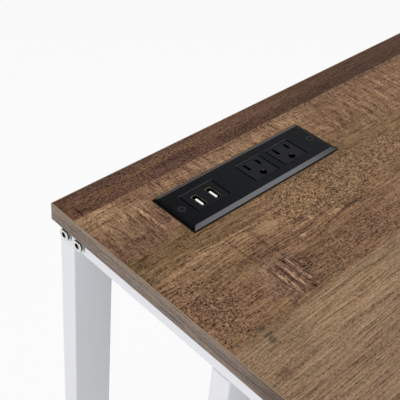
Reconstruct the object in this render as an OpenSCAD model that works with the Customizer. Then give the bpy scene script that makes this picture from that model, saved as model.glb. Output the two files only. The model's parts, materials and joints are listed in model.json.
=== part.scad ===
// Writing desk with a flat-tube end frame at each side and a power module let into the top.
// The origin is on the floor under the middle of the desk. +X is to the user's right as they sit,
// +Y is towards the back and +Z is up. The user sits at the -Y side.

/* [Top] */
// Width of the desk, from end to end
desk_w = 1200; // [900:10:1600]
// Depth of the desk, from front to back
desk_d = 500; // [400:10:700]
// Height of the worktop above the floor
desk_h = 750; // [700:5:780]
// Thickness of the top
top_t = 15; // [15:1:28]
// Thickness of the band glued along the top's edges
band_t = 0.8; // [0.4:0.1:2]

/* [Frame] */
// Wide side of the frame's flat tube, along X
tube_w = 38; // [30:1:60]
// Narrow side of the frame's flat tube
tube_t = 16; // [15:1:22]
// Wall of every tube
tube_wall = 1.5; // [1:0.1:2]
// Outer corner radius of every tube
tube_r = 2; // [1:0.1:2.5]
// Distance from the top's edge in to the frame, all round
frame_inset = 4.3; // [0:0.1:20]
// Width of the beams' flat tube, along Y
beam_w = 32; // [30:1:44]

/* [Frame bolts] */
// Thread diameter of the frame bolts
bolt_d = 6; // [5:1:6]
// Distance between the two bolts at a beam's end
bolt_pitch = 15.5; // [14:0.5:17]
// Diameter of the bolt's head
bolt_head_d = 9.6; // [8:0.1:11]
// Height of the bolt's head
bolt_head_h = 1.8; // [1.5:0.1:4]
// Width across the flats of the hexagon socket
bolt_socket = 4; // [3:0.5:5]
// Depth of the hexagon socket
bolt_socket_depth = 1.5; // [1:0.1:2]
// Diameter of the washer
washer_d = 12; // [11:0.5:13.5]
// Thickness of the washer
washer_t = 1; // [0.8:0.1:1.6]
// Length of thread inside a beam's end block
bolt_grip = 10; // [6:1:12]
// Thickness of the block in a beam's end
block_t = 12; // [12:1:20]

/* [Top fixings] */
// Length of a fixing tab along its tube
tab_l = 30; // [20:1:50]
// Reach of a fixing tab from its tube
tab_reach = 24; // [16:1:30]
// Thickness of a fixing tab
tab_t = 3; // [2.5:0.1:4]
// Distance of a rail's tabs from the desk's middle line
rail_tab_y = 95; // [60:1:110]
// Distance from the module's bezel to a beam's outer tabs, along the beam
beam_tab_x = 36.5; // [20:0.5:120]
// Thread diameter of the screws into the top
top_screw_d = 4; // [3:0.5:5]
// Length of the screws into the top, under the head
top_screw_l = 14; // [10:1:16]
// Diameter of the screws' pan head
top_screw_head_d = 8; // [7:0.5:10]
// Height of the screws' pan head
top_screw_head_h = 2.6; // [2:0.1:3.5]

/* [Levelling feet] */
// Diameter of the foot's pad
pad_d = 30; // [24:1:36]
// Height of the foot's pad
pad_h = 7; // [6:0.5:12]
// Thread diameter of the foot's stud
stud_d = 8; // [6:1:8]
// Height of the hexagon under the stop
hex_h = 4; // [3:0.5:6]
// Width across the flats of the hexagon
hex_af = 13; // [11:0.5:16]
// Distance of the foot's axis from the frame's end, along Y
foot_in = 30; // [26:1:60]
// Length of the threaded insert inside the rail
insert_l = 10; // [8:0.5:11]
// Diameter of the threaded insert
insert_d = 11; // [10.5:0.5:12]
// Diameter of the insert's flange
insert_flange_d = 15; // [14:0.5:18]
// Thickness of the insert's flange
insert_flange_t = 1.5; // [1:0.1:2]

/* [Power module] */
// Length of the bezel beyond the housing, both ends together
module_l = 23; // [22:0.5:44]
// Width of the bezel beyond the housing, both sides together
module_w = 8.5; // [8:0.5:24]
// Distance from the top's left end to the bezel
module_x = 59; // [50:0.5:300]
// Distance from the top's back edge to the bezel
module_y = 43.4; // [43:0.1:60]
// Height of the bezel above the worktop
bezel_h = 2; // [1.8:0.1:4]
// Height of the bezel's upright outer edge
bezel_lip = 0.4; // [0.2:0.1:1]
// Width of the bezel's sloping edge
bezel_slope = 3.4; // [2:0.1:5]
// Length of the housing under the bezel, along X
housing_l = 136; // [124:1:180]
// Width of the housing, along Y
housing_w = 36; // [33:0.5:44]
// Depth of the housing below the worktop
housing_h = 41; // [40:1:60]
// Wall of the housing
housing_wall = 2; // [1.5:0.1:2.4]
// Distance of the bezel's screws from the housing's ends
bezel_screw_x = 3.5; // [3.5:0.5:5]
// Thread diameter of the bezel's screws
bezel_screw_d = 3; // [2.5:0.5:3.5]
// Length of the bezel's screws
bezel_screw_l = 14; // [10:1:15]
// Diameter of the bezel screws' countersunk head
bezel_screw_head_d = 6; // [5:0.2:6.4]

/* [Outlets] */
// Length of an outlet's face, along X
outlet_l = 27; // [25:0.5:28]
// Width of an outlet's face, along Y
outlet_w = 22.6; // [22.4:0.1:24]
// Distance from the housing's right end to the nearest outlet's face
outlet_a_x = 12.7; // [7:0.1:16]
// Distance between the two outlets
outlet_pitch = 33.5; // [32:0.1:34]
// Place of the outlets across the module
outlet_y = -0.5; // [-1:0.1:1.5]
// Depth of an outlet's face below the bezel
outlet_recess = 0.2; // [0.1:0.1:1.5]
// Depth of an outlet's body below the worktop
outlet_depth = 20; // [16:1:22]
// Distance between the two blade slots
slot_pitch = 12.7; // [12:0.1:14]
// Width of a blade slot
slot_w = 2.6; // [1.8:0.1:2.8]
// Length of the neutral slot
neutral_l = 7.9; // [7.9:0.1:8.6]
// Length of the live slot
live_l = 6.4; // [6.4:0.1:7.2]
// Distance from the slots to the ground hole
ground_drop = 11.5; // [11:0.1:12.5]
// Diameter of the ground hole, which is round with a flat
ground_d = 5.8; // [5.6:0.1:6.4]
// Depth of the ground hole's flat, which faces the slots
ground_flat = 0.2; // [0.1:0.05:0.2]
// Diameter of the ground pin that the contacts grip
ground_pin_d = 4.8; // [4.7:0.05:4.9]
// Width of the groove at the ends of the outlet and USB faces, along X
groove_x = 1.3; // [0.4:0.1:1.4]
// Width of the groove at the back and front of the outlets' faces
groove_y = 0.6; // [0.3:0.1:0.7]

/* [USB ports] */
// Length of the USB face, along X
usb_l = 34; // [32:0.5:34]
// Width of the USB face, along Y
usb_w = 20.4; // [19:0.1:22]
// Distance from the housing's left end to the USB face
usb_x = 3.8; // [3.8:0.1:14]
// Place of the USB face across the module
usb_y = 0.8; // [-1:0.1:1.5]
// Depth of the USB face below the bezel
usb_recess = 0.1; // [0.1:0.1:1.5]
// Distance between the two ports
port_pitch = 14.2; // [12:0.1:16]
// Place of the ports across the module
port_y = -0.5; // [-1:0.1:1]
// Length of a port's mouth, along Y
port_l = 12.5; // [12:0.1:13]
// Width of a port's mouth, along X
port_w = 5.1; // [4.8:0.1:5.6]
// Depth of a port's mouth below the USB face
port_in = 0.3; // [0.2:0.1:0.6]
// Depth of a port's shell
shell_h = 12; // [10:0.5:14]
// Wall of a port's shell
shell_wall = 0.3; // [0.3:0.05:0.5]
// Length of the tongue in a port, along Y
tongue_l = 7.6; // [7:0.1:10.8]
// Place of the tongue along the port
tongue_y = -0.7; // [-0.8:0.1:0.8]
// Thickness of the tongue
tongue_w = 1.9; // [1.6:0.1:2.2]
// Depth of the tongue's end inside the shell's mouth
tongue_in = 0.5; // [0.2:0.1:2]
// Thickness of the circuit board
board_t = 1.6; // [1:0.1:2]
// Length of the circuit board
board_l = 32; // [31:0.5:33]
// Width of the circuit board
board_w = 26; // [22:0.5:28]

/* [Cord gland] */
// Diameter of the gland's bore
gland_bore_d = 7; // [6:0.5:8]
// Diameter of the gland's neck
gland_neck_d = 11; // [10.5:0.5:12]
// Diameter of the gland's outer collar
gland_collar_d = 15; // [14:0.5:17]
// Length of the gland's outer collar
gland_collar_l = 7; // [4:0.5:14]
// Height of the gland's axis above the housing's underside
gland_z = 13; // [10:0.5:20]

/* [Hidden] */

// Sides of the desk
left = -1;
right = 1;
front = -1;
rear = 1;

// Clearances
screw_gap = 0.3;
thread_gap = 0.05;
fit_gap = 0.3;
stop_gap = 0.2;
cut_gap = 1;
cut_over = 1;

// Colours as photographed
wood = "#8c6448";
band = "#6f6459";
white = "#e9e8ee";
steel = "#c4c4c0";
black = "#222326";
brass = "#c9a24a";
green = "#2c6b45";
dark_grey = "#3b3c3f";

// Heights
top_under = desk_h - top_t;
foot_h = pad_h + hex_h + stop_gap + insert_flange_t;
frame_h = top_under - foot_h;

// Plan of the frame
frame_d = desk_d - 2 * frame_inset;
rail_x = desk_w / 2 - frame_inset - tube_w / 2;
rail_inner_x = rail_x - tube_w / 2;
leg_y = frame_d / 2 - tube_t / 2;
bar_pitch = (frame_d - tube_t) / 3;
beam_y = frame_d / 2 - beam_w / 2;
beam_l = 2 * rail_inner_x;
beam_inner_y = beam_y - beam_w / 2;
tube_inner_r = max(tube_r - tube_wall, 0.3);
rail_z = top_under - tube_t / 2;
foot_y = frame_d / 2 - foot_in;

// Plan of the power module, whose own origin is in the worktop's surface at the bezel's middle
bezel_l = housing_l + module_l;
bezel_w = housing_w + module_w;
module_at = [
    -desk_w / 2 + module_x + bezel_l / 2,
    desk_d / 2 - module_y - bezel_w / 2,
    desk_h
];
bezel_screw_at = housing_l / 2 + bezel_screw_x;
outlet_b_at = housing_l / 2 - outlet_a_x - outlet_l / 2;
outlet_xs = [outlet_b_at - outlet_pitch, outlet_b_at];
slot_y = (ground_drop + ground_d / 2 - neutral_l / 2) / 2;
usb_at = -housing_l / 2 + usb_x + usb_l / 2;
port_xs = [usb_at - port_pitch / 2, usb_at + port_pitch / 2];
gland_at = [housing_l / 2 - housing_wall, 0, -housing_h + gland_z];
flange_t = 1.5;
flange_rim = 1.2;
face_t = 3;
insert_wall = 1;
contact_gap = 0.55;
clip_leaf = 0.5;
clip_h = outlet_depth - face_t - 1;
contact_base_t = 2;
contact_base_z = -outlet_depth - contact_base_t;
base_t = 2;
base_z = -housing_h + base_t;
port_top_z = bezel_h - usb_recess - port_in;
board_top_z = port_top_z - shell_h;
boss = 7;
boss_h = 9;
post_d = 4;
board_post_x = 8;
base_screw_d = 2.5;
base_screw_l = 9;
base_screw_head_d = 4.6;
base_screw_head_h = 1.6;
base_screw_in = 3.5;
port_r = 0.5;
port_gap = 0.15;
face_r = 0.8;

// Basic shapes

module round_rect(size, r) {
    square([size.x - 2 * r, size.y], center = true);
    square([size.x, size.y - 2 * r], center = true);
    for (x = [-1, 1], y = [-1, 1])
        translate([x * (size.x / 2 - r), y * (size.y / 2 - r)])
            circle(r, $fn = 32);
}

// A block centred in X and Y that stands on z
module block(size, z = 0) {
    translate([-size.x / 2, -size.y / 2, z])
        cube(size);
}

module round_block(size, r, z = 0) {
    translate([0, 0, z])
        linear_extrude(size.z)
            round_rect([size.x, size.y], r);
}

// A flat tube that stands along Z, its wide side along X
module tube(wide, narrow, length) {
    inner = [wide - 2 * tube_wall, narrow - 2 * tube_wall, length + 2 * cut_over];
    difference() {
        round_block([wide, narrow, length], tube_r);
        round_block(inner, tube_inner_r, -cut_over);
    }
}

// A frame tube whose ends are mitred towards -Y, so that its +Y face has the full length
module mitred_tube(length) {
    half = tube_t / 2;
    intersection() {
        tube(tube_w, tube_t, length);
        translate([-tube_w, 0, 0])
            rotate([90, 0, 90])
                linear_extrude(2 * tube_w)
                    polygon([[half, 0], [half, length], [-half, length - tube_t], [-half, tube_t]]);
    }
}

// The two bolt axes at each corner of one end frame, from the frame's outer face inwards
module at_bolts(side) {
    for (end = [front, rear], n = [-1, 1])
        translate([side * (rail_x + tube_w / 2), end * beam_y + n * bolt_pitch / 2, rail_z])
            rotate([0, -side * 90, 0])
                children();
}

module bolt_holes(side) {
    at_bolts(side)
        translate([0, 0, -cut_over])
            cylinder(d = bolt_d + 2 * screw_gap, h = tube_w + 2 * cut_over, $fn = 32);
}

// A tab's place, with its root at [x, y] and its reach along the vector
module at_tab(x, y, reach) {
    translate([x, y, top_under])
        rotate([0, 0, atan2(reach.y, reach.x)])
            children();
}

// Two tabs on each top rail and three on each beam, which all reach towards the desk's middle
module at_tabs() {
    outer_x = desk_w / 2 - module_x - bezel_l - beam_tab_x;
    for (side = [left, right], y = [-rail_tab_y, rail_tab_y])
        at_tab(side * rail_inner_x, y, [-side, 0])
            children();
    for (end = [front, rear], x = [-outer_x, 0, outer_x])
        at_tab(x, end * beam_inner_y, [0, -end])
            children();
}

module at_module() {
    translate(module_at)
        children();
}

// Top

module desk_top() {
    window = [housing_l + 2 * cut_gap, housing_w + 2 * cut_gap, top_t + 2 * cut_over];
    window_r = 2;
    hole_h = top_screw_l - tab_t + cut_over;
    color(wood)
        difference() {
            block([desk_w - 2 * band_t, desk_d - 2 * band_t, top_t], top_under);
            at_module()
                round_block(window, window_r, -top_t - cut_over);
            at_module()
                for (s = [-1, 1])
                    translate([s * bezel_screw_at, 0, -bezel_screw_l + bezel_h])
                        cylinder(d = bezel_screw_d + 2 * thread_gap, h = bezel_screw_l, $fn = 24);
            at_tabs()
                translate([tab_reach / 2, 0, -cut_over])
                    cylinder(d = top_screw_d + 2 * thread_gap, h = hole_h, $fn = 24);
        }
}

module end_band(side) {
    color(band)
        translate([side * (desk_w - band_t) / 2, 0, 0])
            block([band_t, desk_d - 2 * band_t, top_t], top_under);
}

module long_band(end) {
    color(band)
        translate([0, end * (desk_d - band_t) / 2, 0])
            block([desk_w, band_t, top_t], top_under);
}

// End frames

module top_rail(side) {
    color(white)
        difference() {
            translate([side * rail_x, frame_d / 2, rail_z])
                rotate([90, 0, 0])
                    mitred_tube(frame_d);
            bolt_holes(side);
        }
}

module bottom_rail(side) {
    color(white)
        difference() {
            translate([side * rail_x, frame_d / 2, foot_h + tube_t / 2])
                mirror([0, 0, 1])
                    rotate([90, 0, 0])
                        mitred_tube(frame_d);
            for (end = [front, rear])
                translate([side * rail_x, end * foot_y, foot_h - cut_over])
                    cylinder(d = insert_d + 2 * thread_gap, h = tube_wall + 2 * cut_over, $fn = 32);
        }
}

module leg(side, end) {
    color(white)
        difference() {
            translate([side * rail_x, end * leg_y, foot_h])
                mirror([0, (1 - end) / 2, 0])
                    mitred_tube(frame_h);
            bolt_holes(side);
        }
}

module bar(side, end) {
    color(white)
        translate([side * rail_x, end * bar_pitch / 2, foot_h + tube_t])
            tube(tube_w, tube_t, frame_h - 2 * tube_t);
}

// Beams and their fastenings

module beam(end) {
    color(white)
        translate([-beam_l / 2, end * beam_y, rail_z])
            rotate([90, 0, 90])
                tube(beam_w, tube_t, beam_l);
}

module beam_end_blocks() {
    block_size = [beam_w - 2 * tube_wall, tube_t - 2 * tube_wall, block_t];
    color(steel)
        for (side = [left, right], end = [front, rear])
            difference() {
                translate([side * rail_inner_x, end * beam_y, rail_z])
                    rotate([90, 0, -side * 90])
                        round_block(block_size, tube_inner_r);
                translate([side * (rail_inner_x - block_t - cut_over), end * beam_y, rail_z])
                    for (n = [-1, 1])
                        translate([0, n * bolt_pitch / 2, 0])
                            rotate([0, side * 90, 0])
                                cylinder(d = bolt_d + 2 * thread_gap, h = block_t + 2 * cut_over, $fn = 32);
            }
}

module frame_bolts() {
    color(steel)
        for (side = [left, right])
            at_bolts(side)
                difference() {
                    union() {
                        translate([0, 0, -washer_t])
                            cylinder(d = bolt_d, h = washer_t + tube_w + bolt_grip, $fn = 32);
                        translate([0, 0, -washer_t - bolt_head_h])
                            cylinder(d = bolt_head_d, h = bolt_head_h, $fn = 48);
                    }
                    translate([0, 0, -washer_t - bolt_head_h - cut_over])
                        cylinder(d = bolt_socket / cos(30), h = bolt_socket_depth + cut_over, $fn = 6);
                }
}

module frame_washers() {
    color(steel)
        for (side = [left, right])
            at_bolts(side)
                translate([0, 0, -washer_t])
                    difference() {
                        cylinder(d = washer_d, h = washer_t, $fn = 48);
                        translate([0, 0, -cut_over])
                            cylinder(d = bolt_d + 2 * screw_gap, h = washer_t + 2 * cut_over, $fn = 32);
                    }
}

module top_tabs() {
    color(white)
        at_tabs()
            difference() {
                translate([0, -tab_l / 2, -tab_t])
                    cube([tab_reach, tab_l, tab_t]);
                translate([tab_reach / 2, 0, -tab_t - cut_over])
                    cylinder(d = top_screw_d + 2 * screw_gap, h = tab_t + 2 * cut_over, $fn = 24);
            }
}

// A cross recess cut into a screw's head, which lies at z = 0 and opens towards +Z
module cross_recess(span, depth) {
    for (a = [0, 90])
        rotate([0, 0, a])
            translate([-span / 2, -span / 8, -depth])
                cube([span, span / 4, depth + cut_over]);
}

module top_screws() {
    crown_d = top_screw_head_d * 0.7;
    color(steel)
        at_tabs()
            translate([tab_reach / 2, 0, -tab_t])
                difference() {
                    union() {
                        cylinder(d = top_screw_d, h = top_screw_l - screw_gap, $fn = 24);
                        mirror([0, 0, 1])
                            cylinder(d1 = top_screw_head_d, d2 = crown_d, h = top_screw_head_h, $fn = 32);
                    }
                    mirror([0, 0, 1])
                        translate([0, 0, top_screw_head_h])
                            cross_recess(top_screw_head_d * 0.55, top_screw_head_h * 0.6);
                }
}

// Levelling feet

module at_foot(side, end) {
    translate([side * rail_x, end * foot_y, 0])
        children();
}

module foot_pad(side, end) {
    edge = 1.5;
    neck_r = hex_af / 2;
    color(black)
        at_foot(side, end)
            rotate_extrude($fn = 64)
                polygon([
                    [0, 0], [pad_d / 2 - edge, 0], [pad_d / 2, edge], [pad_d / 2, pad_h / 2],
                    [neck_r + edge, pad_h], [0, pad_h]
                ]);
}

module foot_stud(side, end) {
    color(steel)
        at_foot(side, end) {
            translate([0, 0, pad_h])
                cylinder(d = hex_af / cos(30), h = hex_h, $fn = 6);
            translate([0, 0, pad_h + hex_h])
                cylinder(d = stud_d, h = stop_gap + insert_flange_t + insert_l, $fn = 32);
        }
}

module foot_inserts() {
    bore_l = insert_l + insert_flange_t + 2 * cut_over;
    color(steel)
        for (side = [left, right], end = [front, rear])
            at_foot(side, end)
                translate([0, 0, foot_h])
                    difference() {
                        union() {
                            cylinder(d = insert_d, h = insert_l, $fn = 32);
                            translate([0, 0, -insert_flange_t])
                                cylinder(d = insert_flange_d, h = insert_flange_t, $fn = 32);
                        }
                        translate([0, 0, -insert_flange_t - cut_over])
                            cylinder(d = stud_d + 2 * thread_gap, h = bore_l, $fn = 32);
                    }
}

// Power module, each piece in the module's own frame

// The bezel's side view along a width, as a trapezoid on a low lip
module bezel_profile(width) {
    half = width / 2;
    polygon([
        [-half, 0], [half, 0], [half, bezel_lip], [half - bezel_slope, bezel_h],
        [-half + bezel_slope, bezel_h], [-half, bezel_lip]
    ]);
}

module bezel_screw_shape(extra) {
    head_r = bezel_screw_head_d / 2 + extra;
    shank_r = bezel_screw_d / 2 + extra;
    head_h = (bezel_screw_head_d - bezel_screw_d) / 2;
    rotate_extrude($fn = 32)
        polygon([
            [0, bezel_h], [head_r, bezel_h], [shank_r, bezel_h - head_h],
            [shank_r, bezel_h - bezel_screw_l + screw_gap], [0, bezel_h - bezel_screw_l + screw_gap]
        ]);
}

module at_outlets() {
    for (x = outlet_xs)
        translate([x, outlet_y, 0])
            children();
}

module at_ports() {
    for (x = port_xs)
        translate([x, port_y, 0])
            children();
}

module at_base_screws() {
    for (x = [-1, 1], y = [-1, 1])
        translate([
            x * (housing_l / 2 - housing_wall - base_screw_in),
            y * (housing_w / 2 - housing_wall - base_screw_in),
            base_z
        ])
            children();
}

module module_bezel() {
    color(black)
        at_module()
            difference() {
                intersection() {
                    rotate([90, 0, 0])
                        linear_extrude(bezel_w, center = true)
                            bezel_profile(bezel_l);
                    rotate([90, 0, 90])
                        linear_extrude(bezel_l, center = true)
                            bezel_profile(bezel_w);
                }
                at_outlets()
                    round_block([outlet_l, outlet_w, bezel_h + 2 * cut_over], face_r, -cut_over);
                translate([usb_at, usb_y, 0])
                    round_block([usb_l, usb_w, bezel_h + 2 * cut_over], face_r, -cut_over);
                for (s = [-1, 1])
                    translate([s * bezel_screw_at, 0, 0])
                        bezel_screw_shape(thread_gap);
            }
}

module bezel_screws() {
    recess_depth = bezel_screw_head_d / 5;
    color(dark_grey)
        at_module()
            for (s = [-1, 1])
                translate([s * bezel_screw_at, 0, 0])
                    difference() {
                        bezel_screw_shape(0);
                        translate([0, 0, bezel_h])
                            cross_recess(bezel_screw_head_d * 0.6, recess_depth);
                    }
}

module module_housing() {
    inner = [housing_l - 2 * housing_wall, housing_w - 2 * housing_wall];
    corner_r = 1.5;
    hole_h = base_screw_l - base_t + screw_gap;
    gland_hole_h = housing_wall + 2 * cut_over;
    color(black)
        at_module()
            difference() {
                union() {
                    difference() {
                        round_block([housing_l, housing_w, housing_h], corner_r, -housing_h);
                        block([inner.x, inner.y, housing_h + 2 * cut_over], -housing_h - cut_over);
                    }
                    for (x = [-1, 1], y = [-1, 1])
                        translate([x * (inner.x - boss) / 2, y * (inner.y - boss) / 2, 0])
                            block([boss, boss, boss_h], base_z);
                }
                at_base_screws()
                    cylinder(d = base_screw_d + 2 * thread_gap, h = hole_h, $fn = 24);
                translate(gland_at)
                    rotate([0, 90, 0])
                        translate([0, 0, -cut_over])
                            cylinder(d = gland_neck_d + 2 * thread_gap, h = gland_hole_h, $fn = 32);
            }
}

module module_base() {
    size = [housing_l - 2 * housing_wall - 2 * fit_gap, housing_w - 2 * housing_wall - 2 * fit_gap, base_t];
    color(black)
        at_module()
            difference() {
                union() {
                    block(size, -housing_h);
                    at_outlets()
                        for (x = [-1, 1])
                            translate([x * outlet_l / 4, 0, base_z])
                                cylinder(d = post_d, h = contact_base_z - base_z, $fn = 24);
                    for (x = [-1, 1], y = [-1, 1])
                        translate([usb_at + x * board_post_x, y * (board_w - post_d) / 2, base_z])
                            cylinder(d = post_d, h = board_top_z - board_t - base_z, $fn = 24);
                }
                at_base_screws()
                    translate([0, 0, -base_t - cut_over])
                        cylinder(d = base_screw_d + 2 * screw_gap, h = base_t + 2 * cut_over, $fn = 24);
            }
}

module base_screws() {
    color(steel)
        at_module()
            at_base_screws()
                translate([0, 0, -base_t])
                    difference() {
                        union() {
                            cylinder(d = base_screw_d, h = base_screw_l, $fn = 24);
                            mirror([0, 0, 1])
                                cylinder(d = base_screw_head_d, h = base_screw_head_h, $fn = 32);
                        }
                        mirror([0, 0, 1])
                            translate([0, 0, base_screw_head_h])
                                cross_recess(base_screw_head_d * 0.6, base_screw_head_h * 0.6);
                    }
}

// A face in a window in the bezel, with a groove round it and a flange that bears on the bezel from below
module window_face(size, recess, groove) {
    face = [size.x - 2 * groove.x, size.y - 2 * groove.y, bezel_h - recess + flange_t];
    flange = [size.x + 2 * flange_rim, size.y + 2 * flange_rim, flange_t];
    round_block(face, face_r, -flange_t);
    round_block(flange, face_r, -flange_t);
}

// A round hole with a flat towards the slots
module ground_hole(height) {
    intersection() {
        cylinder(d = ground_d, h = height, $fn = 32);
        translate([-ground_d, ground_d / 2 - ground_flat - 2 * ground_d, -cut_over])
            cube([2 * ground_d, 2 * ground_d, height + 2 * cut_over]);
    }
}

module outlet_face(n) {
    body = [outlet_l - 2 * fit_gap, outlet_w - 2 * fit_gap];
    cavity_w = ground_drop + (ground_d + neutral_l) / 2 + 2 * contact_gap;
    top_z = bezel_h - outlet_recess;
    half_pitch = slot_pitch / 2;
    color(black)
        at_module()
            translate([outlet_xs[n], outlet_y, 0])
                difference() {
                    union() {
                        window_face([outlet_l, outlet_w], outlet_recess, [groove_x, groove_y]);
                        round_block([body.x, body.y, outlet_depth], face_r, -outlet_depth);
                    }
                    block(
                        [body.x - 2 * insert_wall, cavity_w, outlet_depth - face_t + top_z + cut_over],
                        -outlet_depth - cut_over
                    );
                    translate([-half_pitch, slot_y, 0])
                        block([slot_w, neutral_l, bezel_h + 2 * face_t], -face_t);
                    translate([half_pitch, slot_y, 0])
                        block([slot_w, live_l, bezel_h + 2 * face_t], -face_t);
                    translate([0, slot_y - ground_drop, -face_t])
                        ground_hole(bezel_h + 2 * face_t);
                }
}

module contact_bases() {
    color(dark_grey)
        at_module()
            at_outlets()
                block([outlet_l - 2 * fit_gap, outlet_w - 2 * fit_gap, contact_base_t], contact_base_z);
}

// A spring clip of two leaves, bent from one strip
module blade_clip(width) {
    gap = 1.4;
    translate([0, width / 2, -outlet_depth])
        rotate([90, 0, 0])
            linear_extrude(width)
                difference() {
                    translate([-gap / 2 - clip_leaf, 0])
                        square([gap + 2 * clip_leaf, clip_h]);
                    translate([-gap / 2, clip_leaf])
                        square([gap, clip_h]);
                }
}

// A split sleeve that grips the ground pin
module ground_clip() {
    squeeze = 0.1;
    grip_d = ground_pin_d - squeeze;
    translate([0, 0, -outlet_depth])
        difference() {
            cylinder(d = grip_d + 2 * clip_leaf, h = clip_h, $fn = 32);
            translate([0, 0, clip_leaf])
                cylinder(d = grip_d, h = clip_h, $fn = 32);
            translate([-clip_leaf, 0, clip_leaf])
                cube([2 * clip_leaf, grip_d, clip_h]);
        }
}

module outlet_contacts() {
    color(brass)
        at_module()
            at_outlets() {
                for (x = [-1, 1])
                    translate([x * slot_pitch / 2, slot_y, 0])
                        blade_clip(6);
                translate([0, slot_y - ground_drop, 0])
                    ground_clip();
            }
}

module usb_face() {
    rim = shell_wall + port_gap;
    color(black)
        at_module()
            difference() {
                translate([usb_at, usb_y, 0])
                    window_face([usb_l, usb_w], usb_recess, [groove_x, fit_gap]);
                at_ports()
                    round_block([port_w + 2 * rim, port_l + 2 * rim, bezel_h + 2 * face_t], port_r + rim, -face_t);
            }
}

module usb_shells() {
    outer = [port_w + 2 * shell_wall, port_l + 2 * shell_wall, shell_h];
    inner = [port_w, port_l, shell_h + 2 * cut_over];
    color(steel)
        at_module()
            at_ports()
                difference() {
                    round_block(outer, port_r + shell_wall, board_top_z);
                    round_block(inner, port_r, board_top_z - cut_over);
                }
}

module usb_tongues() {
    foot_gap = 0.2;
    foot_size = [port_w - foot_gap, port_l - foot_gap, 3];
    side_gap = 1;
    color("white")
        at_module()
            at_ports() {
                round_block(foot_size, port_r, board_top_z);
                translate([-port_w / 2 + tongue_w / 2 + side_gap, tongue_y, 0])
                    block([tongue_w, tongue_l, shell_h - tongue_in], board_top_z);
            }
}

module usb_board() {
    color(green)
        at_module()
            translate([usb_at, 0, 0])
                block([board_l, board_w, board_t], board_top_z - board_t);
}

// The transformer, a capacitor and a chip under the circuit board
module board_parts() {
    transformer = [13, 14, 9];
    transformer_x = -5;
    capacitor_d = 6.5;
    capacitor_h = 8;
    chip = [6, 5, 1.5];
    chip_at = [8, 5];
    color(dark_grey)
        at_module()
            translate([usb_at, 0, board_top_z - board_t]) {
                translate([transformer_x, 0, 0])
                    block(transformer, -transformer.z);
                translate([chip_at.x, -chip_at.y, -capacitor_h])
                    cylinder(d = capacitor_d, h = capacitor_h, $fn = 32);
                translate([chip_at.x, chip_at.y, 0])
                    block(chip, -chip.z);
            }
}

module cord_gland() {
    lip = 2;
    collar_end_d = gland_collar_d - 3;
    neck_l = housing_wall;
    bore_l = lip + neck_l + gland_collar_l + 2 * cut_over;
    color(black)
        at_module()
            translate(gland_at)
                rotate([0, 90, 0])
                    difference() {
                        union() {
                            translate([0, 0, -lip])
                                cylinder(d = gland_neck_d + lip, h = lip, $fn = 48);
                            cylinder(d = gland_neck_d, h = neck_l, $fn = 48);
                            translate([0, 0, neck_l])
                                cylinder(d1 = gland_collar_d, d2 = collar_end_d, h = gland_collar_l, $fn = 48);
                        }
                        translate([0, 0, -lip - cut_over])
                            cylinder(d = gland_bore_d, h = bore_l, $fn = 48);
                    }
}

desk_top();
end_band(left);  // edge_band_left
end_band(right);  // edge_band_right
long_band(front);  // edge_band_front
long_band(rear);  // edge_band_back
top_rail(left);  // left_top_rail
bottom_rail(left);  // left_bottom_rail
leg(left, rear);  // left_rear_leg
leg(left, front);  // left_front_leg
bar(left, rear);  // left_rear_bar
bar(left, front);  // left_front_bar
top_rail(right);  // right_top_rail
bottom_rail(right);  // right_bottom_rail
leg(right, rear);  // right_rear_leg
leg(right, front);  // right_front_leg
bar(right, rear);  // right_rear_bar
bar(right, front);  // right_front_bar
beam(rear);  // back_beam
beam(front);  // front_beam
beam_end_blocks();
frame_bolts();
frame_washers();
top_tabs();
top_screws();
foot_pad(left, rear);  // left_rear_foot_pad
foot_pad(left, front);  // left_front_foot_pad
foot_pad(right, rear);  // right_rear_foot_pad
foot_pad(right, front);  // right_front_foot_pad
foot_stud(left, rear);  // left_rear_foot_stud
foot_stud(left, front);  // left_front_foot_stud
foot_stud(right, rear);  // right_rear_foot_stud
foot_stud(right, front);  // right_front_foot_stud
foot_inserts();
module_bezel();
module_housing();
module_base();
base_screws();
bezel_screws();
outlet_face(0);  // outlet_a_face
outlet_face(1);  // outlet_b_face
contact_bases();
outlet_contacts();
usb_face();
usb_shells();
usb_tongues();
usb_board();
board_parts();
cord_gland();
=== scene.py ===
"""Looks for the writing desk: softened edges, finishes, floor, light and camera."""
import json
import math
from collections import namedtuple

import bmesh
import bpy
from mathutils import Matrix, Vector


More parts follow.
